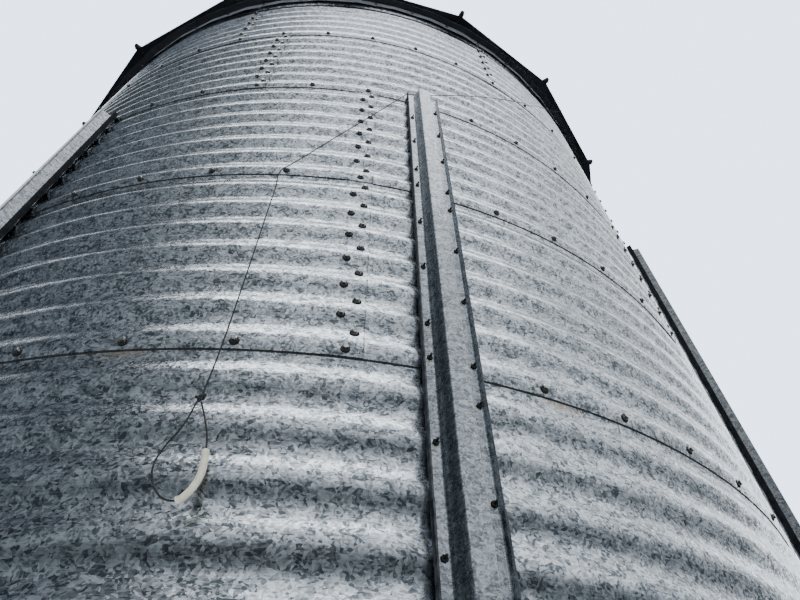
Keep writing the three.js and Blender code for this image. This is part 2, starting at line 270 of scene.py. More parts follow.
def knot_points(place):
    """An overhand knot lying flat against the wall at a place, and the direction across the wall there."""
    centre = polar(*place)
    out = polar(place[0], 1.0, 0.0)
    across = Vector((0.0, 0.0, 1.0)).cross(out)
    points = []
    for step in range(KNOT_STEPS + 1):
        turn = 2 * math.pi * (KNOT_GAP + (1 - 2 * KNOT_GAP) * step / KNOT_STEPS)
        x = math.sin(turn) + 2 * math.sin(2 * turn)
        z = math.cos(turn) - 2 * math.cos(2 * turn)
        y = -math.sin(3 * turn)
        points.append(centre + (across * x + out * y + Vector((0.0, 0.0, z))) * KNOT_UNIT)
    return points, across


knot_line, across = knot_points(KNOT_PLACE)
first_end = knot_line[0] + (Vector((0.0, 0.0, FIRST_END_RISE)) - across) * END_LENGTH
last_end = knot_line[-1] + (Vector((0.0, 0.0, LAST_END_RISE)) + across) * END_LENGTH
knot = smooth_curve("overhand_knot", [first_end, *knot_line, last_end], KNOT_STRAND)
knot.data.materials.append(braid)
knot.visible_glossy = False
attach(knot, "root")
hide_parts("cord_knot")

# Loop handle: a short piece of cream hose threaded on the loop, so that the thin cord doesn't cut the hand.
# It is soft vinyl, cut square at both ends, a little grubby, and lies between two of the loop's points.
HOSE_DIAMETER = 0.012
HOSE_WALL = 0.0035
HANDLE_FIRST = 7
HANDLE_LAST = 13
MERGE_DISTANCE = 1e-5
SHARP_ANGLE = math.radians(35)
CREAM_TONES = [(0.3, (0.80, 0.74, 0.58)), (0.65, (0.95, 0.90, 0.76))]
GRIME = (0.30, 0.26, 0.20, 1.0)
GRIME_RANGE = (0.55, 0.75)
GRIME_SHARE = 0.45


def as_mesh(name, bm):
    """A bmesh turned into a mesh of that name, and freed."""
    mesh = bpy.data.meshes.new(name)
    bm.to_mesh(mesh)
    bm.free()
    return mesh


def finish_piece(name, bm, materials):
    """The bmesh as a smooth-shaded object with its sharp edges marked, riding on the silo."""
    mesh = as_mesh(name, bm)
    mesh.shade_smooth()
    mesh.set_sharp_from_angle(angle=SHARP_ANGLE)
    for material in materials:
        mesh.materials.append(material)
    piece = bpy.data.objects.new(name, mesh)
    bpy.context.scene.collection.objects.link(piece)
    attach(piece, "root")
    return piece


def hose_mesh(points):
    """A bmesh hose along the points, with a wall of its own and open square ends."""
    line = smooth_curve("hose_line", points, HOSE_DIAMETER / 2)
    line.data.use_fill_caps = False
    bpy.context.view_layer.update()
    shell = line.evaluated_get(bpy.context.evaluated_depsgraph_get()).to_mesh()
    bm = bmesh.new()
    bm.from_mesh(shell)
    bpy.data.objects.remove(line)
    bmesh.ops.remove_doubles(bm, verts=bm.verts, dist=MERGE_DISTANCE)
    bmesh.ops.recalc_face_normals(bm, faces=bm.faces)
    bmesh.ops.solidify(bm, geom=bm.faces[:], thickness=HOSE_WALL)
    return bm


def mixed(tree, share, first, second):
    """Two colours mixed, wholly the second where the share is 1."""
    return add_node(tree, "ShaderNodeMix", {0: share, 6: first, 7: second}, data_type="RGBA").outputs[2]


vinyl, tree, shader = new_material("cream_vinyl", 0.0, 0.42)
cream = colour_ramp(tree, clouds_over(tree, scale=90.0, detail=5.0), CREAM_TONES)
grimy = mapped(tree, clouds_over(tree, scale=34.0, detail=2.0), *GRIME_RANGE, 0.0, GRIME_SHARE)
tree.links.new(mixed(tree, grimy, cream, GRIME), shader.inputs["Base Color"])
hose_line = [polar(*point) for point in LOOP_ROUTE[HANDLE_FIRST:HANDLE_LAST + 1]]
handle = finish_piece("hose_handle", hose_mesh(hose_line), [vinyl])
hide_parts("loop_handle")

# Wall sheets: seven rings of corrugated, hot-dip galvanised steel, one millimetre thick. Nine curved sheets
# go round, or six longer ones in the fourth and sixth ring. Each ring laps outside the one below it, and each
# sheet's right end laps over the next sheet of its ring.
RING_COUNT = 7
RING_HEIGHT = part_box("wall_ring_1")[1].z
WALL_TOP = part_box("wall_ring_7")[1].z
SHEET_COUNT = 9
LONG_SHEETS = {4: 6, 6: 6}
SHEET_THICKNESS = 0.001
CREST_RADIUS = 1.8604
WAVE_DEPTH = 0.011
WAVE_PITCH = 0.104
CREST_RISE = 0.028
SEAM_DROP = 0.004
HIDDEN_LAP = 0.062
SEAM_BOLTS = 54
BOLT_STEP = 360.0 / SEAM_BOLTS
BOLT_AZIMUTH = 0.85
ROWS_PER_WAVE = 12
COLUMN_TURN = 1.9

# The first lap of each ring lies over a seam bolt, counted here from the one nearest -Y.
LAP_BOLTS = {1: 2, 2: -1, 3: 1, 4: 0, 5: 0, 6: -2, 7: 3}

# A sheet rises over its neighbour's end and over the ring below it. Its free edges stand off a little more.
LAP_HALF = 1.15
LAP_LIFT = 0.0013
LAP_RAMP = (4.2, 2.6)
EDGE_TURN = 0.2
EDGE_STEPS = 2
EDGE_LIFT = 0.0015
SEAM_LIFT = 0.0012
SEAM_RAMP = (0.07, 0.2)
FLARE_LIFT = 0.0008
FLARE_HEIGHT = 0.02
AZIMUTH_SLACK = 1.0

# The sheets of a ring differ a little in tone: the first is plain, and the steps scatter the others.
PLAIN_TONE = 0.5
RING_TONE_STEP = 0.37
SHEET_TONE_STEP = 0.618


def wave_radius(height):
    """The outer face of the corrugation, whose first crest lies just above the seam bolts."""
    phase = 2 * math.pi * (height - CREST_RISE) / WAVE_PITCH
    return CREST_RADIUS - WAVE_DEPTH / 2 * (1 - math.cos(phase))


def sheets_in(number):
    """How many sheets go round in a ring."""
    return LONG_SHEETS.get(number, SHEET_COUNT)


def eased(value, low, high):
    """0 below low, 1 above high and smooth between."""
    share = min(1.0, max(0.0, (value - low) / (high - low)))
    return share * share * (3 - 2 * share)


def sheet_lift(azimuth, height, foot, right_end):
    """How far a sheet stands off the plain wave: over its neighbour, and over the ring below."""
    lift = LAP_LIFT * eased(azimuth, right_end - LAP_RAMP[0], right_end - LAP_RAMP[1])
    lift += EDGE_LIFT * eased(azimuth, right_end - EDGE_TURN / 2, right_end)
    if foot > 0:
        lift += SEAM_LIFT * (1 - eased(height, foot + SEAM_RAMP[0], foot + SEAM_RAMP[1]))
        lift += FLARE_LIFT * (1 - eased(height, foot, foot + FLARE_HEIGHT))
    return lift


def face_outward(bm):
    """Turns the faces of a shell about the silo's axis outwards."""
    bm.faces.ensure_lookup_table()
    first = bm.faces[0]
    first.normal_update()
    middle = first.calc_center_median()
    middle.z = 0.0
    if first.normal.dot(middle) < 0:
        bmesh.ops.reverse_faces(bm, faces=bm.faces[:])


def vertices_of(made):
    """The vertices among what an operator made."""
    return [item for item in made["geom"] if isinstance(item, bmesh.types.BMVert)]


def turn_about_axis(bm, vertices, degrees):
    """Turns vertices about the silo's axis."""
    bmesh.ops.rotate(bm, verts=vertices, matrix=Matrix.Rotation(math.radians(degrees), 3, "Z"))


def turned_copy(bm, faces, degrees):
    """Copies faces, turns the copy about the silo's axis and returns its faces."""
    made = bmesh.ops.duplicate(bm, geom=faces)
    turn_about_axis(bm, vertices_of(made), degrees)
    return [item for item in made["geom"] if isinstance(item, bmesh.types.BMFace)]


def ring_mesh(number):
    """The sheets of a ring as one bmesh with a tone for each sheet."""
    sheets = sheets_in(number)
    foot = (number - 1) * RING_HEIGHT - (SEAM_DROP if number > 1 else 0.0)
    head = number * RING_HEIGHT + HIDDEN_LAP if number < RING_COUNT else WALL_TOP
    left_end = BOLT_AZIMUTH + LAP_BOLTS[number] * BOLT_STEP - LAP_HALF
    right_end = left_end + 360.0 / sheets + 2 * LAP_HALF
    bm = bmesh.new()
    edge = bm.edges.new([bm.verts.new(polar(left_end, 1.0, height)) for height in (foot, head)])
    rows = round((head - foot) / WAVE_PITCH * ROWS_PER_WAVE)
    bmesh.ops.subdivide_edges(bm, edges=[edge], cuts=rows - 1)
    turn = math.radians(right_end - left_end - EDGE_TURN)
    columns = round((right_end - left_end) / COLUMN_TURN)
    made = bmesh.ops.spin(bm, geom=bm.verts[:] + bm.edges[:], axis=(0, 0, 1), angle=turn, steps=columns)
    bmesh.ops.spin(bm, geom=made["geom_last"], axis=(0, 0, 1), angle=math.radians(EDGE_TURN),
                   steps=EDGE_STEPS)
    for vertex in bm.verts:
        azimuth = math.degrees(math.atan2(vertex.co.x, -vertex.co.y))
        azimuth = left_end + (azimuth - left_end + AZIMUTH_SLACK) % 360.0 - AZIMUTH_SLACK
        height = vertex.co.z
        vertex.co = polar(azimuth, wave_radius(height) + sheet_lift(azimuth, height, foot, right_end), height)
    face_outward(bm)
    bmesh.ops.solidify(bm, geom=bm.faces[:], thickness=SHEET_THICKNESS)
    tone = bm.faces.layers.float.new("sheet_tone")
    one_sheet = bm.faces[:]
    for face in one_sheet:
        face[tone] = PLAIN_TONE
    for copy in range(1, sheets):
        share = (RING_TONE_STEP * number + SHEET_TONE_STEP * copy) % 1.0
        for face in turned_copy(bm, one_sheet, 360.0 * copy / sheets):
            face[tone] = share
    return bm


def reckon(tree, operation, *values):
    """The outcome of a sum, product or other operation on numbers."""
    return add_node(tree, "ShaderNodeMath", dict(enumerate(values)), operation=operation).outputs[0]


def reckon_vector(tree, operation, *values, scale=None):
    """The same on vectors. A length or a dot product comes out as a number."""
    sockets = dict(enumerate(values))
    if scale is not None:
        sockets["Scale"] = scale
    node = add_node(tree, "ShaderNodeVectorMath", sockets, operation=operation)
    return node.outputs["Value" if operation in ("LENGTH", "DOT_PRODUCT") else "Vector"]


# Sizes in the zinc's pattern count in grains. Its brightness is the sum of four parts, each with its share.
ROLLING_STRETCH = 1.3
BEND_SCALE = 1.7
BEND = 0.25
SHARD_SQUEEZE = (1.3, 3.0, 3.6)
SPECK_SCALE = 1.1
STREAK_SQUEEZE = (0.35, 0.35, 5.0)
GRAIN_SHARE = 0.20
SHARD_SHARE = 0.28
SPECK_SHARE = 0.26
STREAK_SHARE = 0.26
MIDDLE = (0.5, 0.5, 0.5)
DUST_SCALE = 1.7
DUST_SHADES = (0.9, 1.05)


def zinc_group():
    """Hot-dip zinc: dusty grains, each a bundle of shards lying one way, unlike in roughness and lean."""
    group = bpy.data.node_groups.new("zinc_spangle", "ShaderNodeTree")
    panel = group.interface
    panel.new_socket("Vector", in_out="INPUT", socket_type="NodeSocketVector")
    for name in ("Grain", "Low Roughness", "High Roughness", "Lean"):
        panel.new_socket(name, in_out="INPUT", socket_type="NodeSocketFloat")
    for name in ("Flake", "Dust", "Roughness"):
        panel.new_socket(name, in_out="OUTPUT", socket_type="NodeSocketFloat")
    panel.new_socket("Normal", in_out="OUTPUT", socket_type="NodeSocketVector")
    given = group.nodes.new("NodeGroupInput").outputs
    out = group.nodes.new("NodeGroupOutput").inputs

    unit = reckon_vector(group, "SCALE", given["Vector"], scale=reckon(group, "DIVIDE", 1.0, given["Grain"]))
    unit = reckon_vector(group, "MULTIPLY", unit, (1.0, 1.0, ROLLING_STRETCH))
    bend = noise(group, unit, BEND_SCALE, detail=2.0, output="Color")
    bend = reckon_vector(group, "SUBTRACT", bend, MIDDLE)
    bent = reckon_vector(group, "ADD", unit, reckon_vector(group, "SCALE", bend, scale=BEND))
    grain = add_node(group, "ShaderNodeTexVoronoi", {"Vector": bent, "Scale": 1.0}).outputs["Color"]
    turn = reckon_vector(group, "SCALE", grain, scale=2 * math.pi)
    lying = add_node(group, "ShaderNodeVectorRotate", {"Vector": bent, "Rotation": turn},
                     rotation_type="EULER_XYZ").outputs["Vector"]
    narrow = reckon_vector(group, "MULTIPLY", lying, SHARD_SQUEEZE)
    shard = add_node(group, "ShaderNodeTexVoronoi", {"Vector": narrow, "Scale": 1.0}).outputs["Color"]
    speck = noise(group, narrow, SPECK_SCALE, detail=4.0)
    streak = noise(group, reckon_vector(group, "MULTIPLY", unit, STREAK_SQUEEZE), scale=1.0, detail=2.0)

    of_grain = add_node(group, "ShaderNodeSeparateColor", {"Color": grain}).outputs
    of_shard = add_node(group, "ShaderNodeSeparateColor", {"Color": shard}).outputs
    flake = reckon(group, "MULTIPLY", of_grain["Red"], GRAIN_SHARE)
    for part, share in ((of_shard["Red"], SHARD_SHARE), (speck, SPECK_SHARE), (streak, STREAK_SHARE)):
        flake = reckon(group, "ADD", flake, reckon(group, "MULTIPLY", part, share))
    group.links.new(flake, out["Flake"])
    dust = noise(group, given["Vector"], DUST_SCALE, detail=3.0)
    group.links.new(mapped(group, dust, *CLOUD_RANGE, *DUST_SHADES), out["Dust"])
    rough = mapped(group, of_shard["Green"], 0.0, 1.0, given["Low Roughness"], given["High Roughness"])
    group.links.new(rough, out["Roughness"])
    lean = reckon_vector(group, "SCALE", reckon_vector(group, "SUBTRACT", shard, MIDDLE), scale=given["Lean"])
    normal = group.nodes.new("ShaderNodeNewGeometry").outputs["Normal"]
    leaning = reckon_vector(group, "NORMALIZE", reckon_vector(group, "ADD", normal, lean))
    group.links.new(leaning, out["Normal"])
    return group


ZINC = zinc_group()
FLAKE_STOPS = (0.34, 0.50, 0.66)
SHEET_SHADES = (0.93, 1.05)

# A stain has an azimuth, a radius, a height and a reach. It is flat, ragged at its edge and tan.
STAIN_PLACES = [(-12.3, 1.861, 2.172, 0.068), (15.3, 1.861, 2.168, 0.078), (0.6, 1.861, 2.898, 0.03)]
STAIN_FLATNESS = (1.0, 1.0, 5.0)
STAIN_TAN = (0.55, 0.44, 0.32, 1.0)
STAIN_SHARE = 0.75


def stained(tree, places, colour, stains):
    """A colour with stains over it, each strongest at its place and gone at its reach."""
    for azimuth, radius, height, reach in stains:
        apart = reckon_vector(tree, "SUBTRACT", places, polar(azimuth, radius, height))
        far = reckon_vector(tree, "LENGTH", reckon_vector(tree, "MULTIPLY", apart, STAIN_FLATNESS))
        ragged = reckon(tree, "MULTIPLY", clouds_over(tree, scale=60.0, detail=3.0), reach)
        far = reckon(tree, "ADD", far, ragged)
        near = mapped(tree, far, 0.5 * reach, 1.5 * reach, STAIN_SHARE, 0.0)
        colour = mixed(tree, near, colour, STAIN_TAN)
    return colour


def galvanised(name, dark, light, stains=(), grain=0.017, rough_range=(0.17, 0.30), lean=0.08, toned=False):
    """Galvanised steel from its darkest to its lightest flake, with dust, stains and a tone per sheet."""
    material, tree, shader = new_material(name, 1.0, 0.3)
    places = own_places(tree)
    sockets = {"Vector": places, "Grain": grain, "Lean": lean}
    sockets["Low Roughness"], sockets["High Roughness"] = rough_range
    zinc = add_node(tree, "ShaderNodeGroup", sockets, node_tree=ZINC).outputs
    middle = [(a + b) / 2 for a, b in zip(dark, light)]
    colour = colour_ramp(tree, zinc["Flake"], list(zip(FLAKE_STOPS, (dark, middle, light))))
    shade = zinc["Dust"]
    if toned:
        tone = add_node(tree, "ShaderNodeAttribute", attribute_name="sheet_tone").outputs["Fac"]
        shade = reckon(tree, "MULTIPLY", shade, mapped(tree, tone, 0.0, 1.0, *SHEET_SHADES))
    colour = stained(tree, places, reckon_vector(tree, "SCALE", colour, scale=shade), stains)
    tree.links.new(colour, shader.inputs["Base Color"])
    for output in ("Roughness", "Normal"):
        tree.links.new(zinc[output], shader.inputs[output])
    return material


wall_zinc = galvanised("wall_zinc", (0.14, 0.166, 0.188), (0.89, 0.945, 1.0), STAIN_PLACES, toned=True)
# Painted light: the top ring's flakes are lighter than the other rings', for how much brighter it looks at
# its grazing view.
top_zinc_painted_light = galvanised("top_wall_zinc_painted_light", (0.34, 0.37, 0.42), (0.88, 0.93, 1.0), rough_range=(0.10, 0.22),
                      toned=True)
for number in range(1, RING_COUNT + 1):
    finish = top_zinc_painted_light if number == RING_COUNT else wall_zinc
    ring = finish_piece(f"wall_sheets_{number}", ring_mesh(number), [finish])
    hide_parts(f"wall_ring_{number}")

# Seam sealant: a strip of black butyl laid on the top of each ring and squeezed under the next ring's lower
# edge, below which a thin line of it shows. That line is painted shade: it stands in for the shadow in the
# gap under the seam's edge.
# Painted shade: how far the black strip shows below a seam, as wide as the seam's shadow.
SEAM_SHADE_SHOWING = 0.0036
SEALANT_HEIGHT = 0.012
SEALANT_GAP = 0.0002
SEALANT_THICKNESS = 0.0008
SEALANT_STEPS = 180
BUTYL_AND_SEAM_SHADE_TONES = [(0.3, (0.008, 0.008, 0.009)), (0.7, (0.03, 0.03, 0.032))]
BUTYL_RELIEF = 0.001


def add_part(whole, part):
    """Adds a bmesh to another one and frees it."""
    mesh = as_mesh("part", part)
    whole.from_mesh(mesh)
    bpy.data.meshes.remove(mesh)


def sealant_mesh():
    """Every seam's strip in one bmesh, each spun once round the silo and thickened outwards."""
    strips = bmesh.new()
    for number in range(1, RING_COUNT):
        foot = number * RING_HEIGHT - SEAM_DROP - SEAM_SHADE_SHOWING
        bm = bmesh.new()
        heights = (foot, foot + SEALANT_HEIGHT)
        bm.edges.new([bm.verts.new((wave_radius(height) + SEALANT_GAP, 0.0, height)) for height in heights])
        bmesh.ops.spin(bm, geom=bm.verts[:] + bm.edges[:], axis=(0, 0, 1), angle=2 * math.pi,
                       steps=SEALANT_STEPS, use_merge=True)
        face_outward(bm)
        bmesh.ops.solidify(bm, geom=bm.faces[:], thickness=-SEALANT_THICKNESS)
        add_part(strips, bm)
    return strips


# Partly real sealant, partly painted shade where it shows below the seams.
butyl_and_seam_shade = mottled("black_butyl_and_seam_shade", BUTYL_AND_SEAM_SHADE_TONES, scale=140.0, detail=3.0, roughness=0.8, relief=BUTYL_RELIEF)
sealant_and_shade = finish_piece("seam_sealant_and_shade", sealant_mesh(), [butyl_and_seam_shade])
sealant_and_shade.visible_glossy = False

# Wall bolts: hex heads on black domed sealing washers. A row holds each seam, and two staggered
# columns hold each upright lap, one just below the crests and one just below the valleys.
BOLT_RISE = 0.013
WASHER_RADIUS = 0.0108
WASHER_SEAT = 0.006
WASHER_HEIGHT = 0.0028
WASHER_TAPER = 0.8
WASHER_SIDES = 14
HEAD_RADIUS = 0.0068
HEAD_HEIGHT = 0.0056
HEX_SIDES = 6
CHAMFER_HEIGHT = 0.0010
CHAMFER_TAPER = 0.78
COLUMN_OFFSET = 0.5
WAVES_PER_RING = 7
SEAM_SPIN = 0.7
LAP_SPIN = 0.9
BOLT_TONES = [(0.35, (0.22, 0.217, 0.205)), (0.65, (0.70, 0.69, 0.66))]
WASHER_TONES = [(0.35, (0.010, 0.010, 0.010)), (0.7, (0.035, 0.034, 0.032))]
DULL_SPECULAR = 0.2

# Each stiffener stands in a seam bolt's place, a trifle to the left of the middle of its own bolts.
STIFFENER_COUNT = 9
STIFFENER_TURN = 360.0 / STIFFENER_COUNT
STIFFENER_BOLT = 1
STIFFENER_SHIFT = 0.1
STIFFENER_HOLES = BOLT_AZIMUTH + STIFFENER_BOLT * BOLT_STEP
STIFFENER_AZIMUTH = STIFFENER_HOLES - STIFFENER_SHIFT
STIFFENER_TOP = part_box("stiffener_1")[1].z
STIFFENER_CLEARANCE = 2.2


def from_stiffener(azimuth):
    """How many degrees an azimuth lies from the nearest stiffener's middle."""
    offset = (azimuth - STIFFENER_AZIMUTH) % STIFFENER_TURN
    return min(offset, STIFFENER_TURN - offset)


def standing_out(azimuth, radius, height, spin):
    """A place on the wall whose Z axis points out of it, spun about that axis."""
    turn = Matrix.Rotation(math.radians(azimuth), 4, "Z") @ Matrix.Rotation(math.pi / 2, 4, "X")
    return Matrix.Translation(polar(azimuth, radius, height)) @ turn @ Matrix.Rotation(spin, 4, "Z")


def add_round(bm, low, high, wide, narrow, sides, finish=0):
    """A closed cylinder or cone on the Z axis, from low to high."""
    made = bmesh.ops.create_cone(bm, cap_ends=True, segments=sides, radius1=wide, radius2=narrow,
                                 depth=high - low, matrix=Matrix.Translation((0.0, 0.0, (low + high) / 2)))
    for face in {face for vertex in made["verts"] for face in vertex.link_faces}:
        face.material_index = finish


def bolt_mesh():
    """A washer and a chamfered hex head about the origin, standing along Z."""
    bm = bmesh.new()
    head = WASHER_HEIGHT + HEAD_HEIGHT
    add_round(bm, -WASHER_SEAT, 0.0, WASHER_RADIUS, WASHER_RADIUS, WASHER_SIDES, finish=1)
    add_round(bm, 0.0, WASHER_HEIGHT, WASHER_RADIUS, WASHER_TAPER * WASHER_RADIUS, WASHER_SIDES, finish=1)
    add_round(bm, WASHER_HEIGHT, head, HEAD_RADIUS, HEAD_RADIUS, HEX_SIDES)
    add_round(bm, head, head + CHAMFER_HEIGHT, HEAD_RADIUS, CHAMFER_TAPER * HEAD_RADIUS, HEX_SIDES)
    return as_mesh("one_bolt", bm)


def add_copy(bm, mesh, place):
    """One more copy of a mesh, set at a place."""
    copy = mesh.copy()
    copy.transform(place)
    bm.from_mesh(copy)
    bpy.data.meshes.remove(copy)


def seam_bolts(bm, number):
    """The row of bolts through the seam at the foot of a ring, without those that a stiffener replaces."""
    height = (number - 1) * RING_HEIGHT + BOLT_RISE
    radius = wave_radius(height) + (SEAM_LIFT if number > 1 else 0.0)
    for step in range(SEAM_BOLTS):
        azimuth = BOLT_AZIMUTH + step * BOLT_STEP
        if height > STIFFENER_TOP or from_stiffener(azimuth) > STIFFENER_CLEARANCE:
            add_copy(bm, one_bolt, standing_out(azimuth, radius, height, SEAM_SPIN * step))


def lap_bolts(bm, number):
    """Both columns of bolts at each of a ring's laps. Near a valley a washer rests on its lower rim."""
    foot = (number - 1) * RING_HEIGHT + BOLT_RISE
    for sheet in range(sheets_in(number)):
        middle = BOLT_AZIMUTH + LAP_BOLTS[number] * BOLT_STEP + sheet * 360.0 / sheets_in(number)
        for half in range(1, 2 * WAVES_PER_RING):
            height = foot + half * WAVE_PITCH / 2
            azimuth = middle + (COLUMN_OFFSET if half % 2 else -COLUMN_OFFSET)
            radius = max(wave_radius(height), wave_radius(height - WASHER_RADIUS)) + LAP_LIFT
            add_copy(bm, one_bolt, standing_out(azimuth, radius, height, LAP_SPIN * half))


bolt_zinc = mottled("bolt_zinc", BOLT_TONES, scale=210.0, detail=2.0, roughness=0.2, metallic=1.0,
                    rough_range=(0.10, 0.22))
washer_black = mottled("washer_black", WASHER_TONES, scale=160.0, detail=2.0, roughness=0.5,
                       specular=DULL_SPECULAR)
one_bolt = bolt_mesh()
bolts = bmesh.new()
for number in range(1, RING_COUNT + 1):
    seam_bolts(bolts, number)
    # The third ring's laps lie behind the stiffeners, whose own bolts hold them.
    if LAP_BOLTS[number] != STIFFENER_BOLT:
        lap_bolts(bolts, number)
wall_bolts = finish_piece("wall_bolts", bolts, [bolt_zinc, washer_black])
wall_bolts.visible_glossy = False

# Stiffeners: nine upright hat sections of heavier galvanised strip, forty degrees apart, rolled with lips.
# Each is two lengths, the lower lapped over the upper, and both flanges are bolted through the crests. The
# lips' outer faces are painted near black as shade, every third one's in a lighter painted shade of grey,
# and every second stiffener's zinc is a darker copy, painted shade as well.
STIFFENER_RADIUS = 1.8623
HAT_SHEET = 0.003
HAT_BEND = 0.004
BEND_STEPS = 3
LIP_SKIN = 0.0592
SPLICE_HEIGHT = 1.768
SPLICE_LAP = 0.10
SPLICE_LIFT = 0.0030
SPLICE_EASE = 0.5
SPLICE_CUTS = 24
LIGHTER_SHADE_EVERY = 3
# Painted shade for the lips' outer faces: near black, and a lighter dark grey on every third stiffener.
LIP_SHADE_TONES = [(0.35, (0.006, 0.007, 0.009)), (0.7, (0.022, 0.025, 0.030))]
LIP_LIGHTER_SHADE_TONES = [(0.35, (0.028, 0.033, 0.040)), (0.7, (0.105, 0.115, 0.127))]

# Half the front face of the section, from the lip's edge to the web: how far across and how far out.
HAT_FRONT_LINE = [(0.0583, 0.021), (0.0583, 0.003), (0.0328, 0.003), (0.0205, 0.046)]


def round_off(bm, edges, width):
    """Rounds off edges, as bent or pressed sheet has them."""
    bmesh.ops.bevel(bm, geom=edges, offset=width, offset_type="OFFSET", affect="EDGES", segments=BEND_STEPS,
                    profile=0.5, material=-1, clamp_overlap=True)


def hat_length(low, high, splice_lift):
    """One rolled length of hat section at azimuth 0, lifted near the splice where it laps over the other."""
    bm = bmesh.new()
    line = [*HAT_FRONT_LINE, *[(-across, out) for across, out in reversed(HAT_FRONT_LINE)]]
    corners = [bm.verts.new((across, -STIFFENER_RADIUS - out, low)) for across, out in line]
    foot = [bm.edges.new(pair) for pair in zip(corners, corners[1:])]
    drawn = bmesh.ops.extrude_edge_only(bm, edges=foot)
    bmesh.ops.translate(bm, verts=vertices_of(drawn), vec=(0, 0, high - low))
    round_off(bm, [edge for edge in bm.edges if len(edge.link_faces) == 2], HAT_BEND)
    if splice_lift > 0:
        upright = [edge for edge in bm.edges if edge.calc_length() > (high - low) / 2]
        bmesh.ops.subdivide_edges(bm, edges=upright, cuts=SPLICE_CUTS, use_grid_fill=True)
        for vertex in bm.verts:
            vertex.co.y -= splice_lift * eased(vertex.co.z, SPLICE_HEIGHT - SPLICE_EASE, SPLICE_HEIGHT)
    bmesh.ops.recalc_face_normals(bm, faces=bm.faces)
    bm.normal_update()
    web = min(bm.faces, key=lambda face: face.calc_center_median().y)
    if web.normal.y > 0:
        bmesh.ops.reverse_faces(bm, faces=bm.faces[:])
    bmesh.ops.solidify(bm, geom=bm.faces[:], thickness=HAT_SHEET)
    for face in bm.faces:
        face.material_index = 1 if abs(face.calc_center_median().x) > LIP_SKIN else 0
    return bm


def stiffener_mesh(azimuth):
    """Both lengths of a stiffener, turned to its place."""
    both = bmesh.new()
    add_part(both, hat_length(0.0, SPLICE_HEIGHT + SPLICE_LAP, SPLICE_LIFT))
    add_part(both, hat_length(SPLICE_HEIGHT, STIFFENER_TOP, 0.0))
    turn_about_axis(both, both.verts, azimuth)
    return both


bright_zinc = galvanised("stiffener_zinc", (0.16, 0.178, 0.196), (0.53, 0.568, 0.606), grain=0.012,
                         rough_range=(0.24, 0.34), lean=0.04)
# Painted shade: a darker copy of the stiffener zinc, for every second stiffener.
painted_shade_zinc = galvanised("painted_shade_stiffener_zinc", (0.08, 0.089, 0.098), (0.26, 0.279, 0.30), grain=0.012,
                       rough_range=(0.24, 0.34), lean=0.04)
# Painted shade on the lips' outer faces, near black or a lighter dark grey.
lip_painted_shade = mottled("lip_painted_shade", LIP_SHADE_TONES, scale=55.0, detail=4.0, roughness=0.7,
                    specular=DULL_SPECULAR)
lip_lighter_painted_shade = mottled("lip_lighter_painted_shade", LIP_LIGHTER_SHADE_TONES, scale=55.0, detail=4.0, roughness=0.7,
                    specular=DULL_SPECULAR)
for number in range(1, STIFFENER_COUNT + 1):
    azimuth = STIFFENER_AZIMUTH + (number - 1) * STIFFENER_TURN
    bright = number % 2 == 1
    finishes = [bright_zinc if bright else painted_shade_zinc, lip_lighter_painted_shade if number % LIGHTER_SHADE_EVERY == 1 else lip_painted_shade]
    stiffener = finish_piece(f"hat_stiffener_{number}", stiffener_mesh(azimuth), finishes)
    # The mirror image of one in the darker painted-shade zinc, with its painted-shade lip, would leave a
    # ragged dark edge on the wall.
    stiffener.visible_glossy = bright
    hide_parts(f"stiffener_{number}")

# Stiffener bolts: put in from inside the silo, so their nuts and threaded ends show. Left and right flanges
# take turns, and both are bolted on the first crest of a ring.
STIFFENED_RINGS = 5
FLANGE_BOLT_OFFSET = 0.047
FLANGE_FACE = STIFFENER_RADIUS + HAT_SHEET
LEFT_CRESTS = (0, 1, 3, 5)
RIGHT_CRESTS = (0, 2, 4, 6)
PLAIN_WASHER_HEIGHT = 0.0012
PLAIN_WASHER_SIDES = 12
NUT_RADIUS = 0.0068
NUT_HEIGHT = 0.0058
NUT_TAPER = 0.82
NUT_SPIN = 0.8
PLAIN_WASHER_RADIUS = 1.1 * NUT_RADIUS
THREAD_RADIUS = 0.0027
THREAD_LENGTH = 0.0165
THREAD_TAPER = 0.88
THREAD_SIDES = 8


def nut_mesh():
    """A plain washer, a nut chamfered at its outer end and the end of its bolt, standing along Z."""
    bm = bmesh.new()
    crown = NUT_HEIGHT + CHAMFER_HEIGHT
    add_round(bm, 0.0, PLAIN_WASHER_HEIGHT, PLAIN_WASHER_RADIUS, PLAIN_WASHER_RADIUS, PLAIN_WASHER_SIDES)
    add_round(bm, PLAIN_WASHER_HEIGHT, NUT_HEIGHT, NUT_RADIUS, NUT_RADIUS, HEX_SIDES, finish=1)
    add_round(bm, NUT_HEIGHT, crown, NUT_RADIUS, NUT_TAPER * NUT_RADIUS, HEX_SIDES, finish=1)
    add_round(bm, crown, THREAD_LENGTH, THREAD_RADIUS, THREAD_TAPER * THREAD_RADIUS, THREAD_SIDES, finish=1)
    return as_mesh("one_nut", bm)


one_nut = nut_mesh()
nuts = bmesh.new()
for stiffener in range(STIFFENER_COUNT):
    turn = Matrix.Rotation(math.radians(STIFFENER_HOLES + stiffener * STIFFENER_TURN), 4, "Z")
    for ring in range(STIFFENED_RINGS):
        for side, crests in ((-1, LEFT_CRESTS), (1, RIGHT_CRESTS)):
            for crest in crests:
                height = ring * RING_HEIGHT + BOLT_RISE + crest * WAVE_PITCH
                spot = Matrix.Translation((side * FLANGE_BOLT_OFFSET, -FLANGE_FACE, height))
                out = Matrix.Rotation(math.pi / 2, 4, "X") @ Matrix.Rotation(NUT_SPIN * crest + ring, 4, "Z")
                add_copy(nuts, one_nut, turn @ spot @ out)
stiffener_nuts = finish_piece("stiffener_nuts", nuts, [bolt_zinc, washer_black])
stiffener_nuts.visible_glossy = False

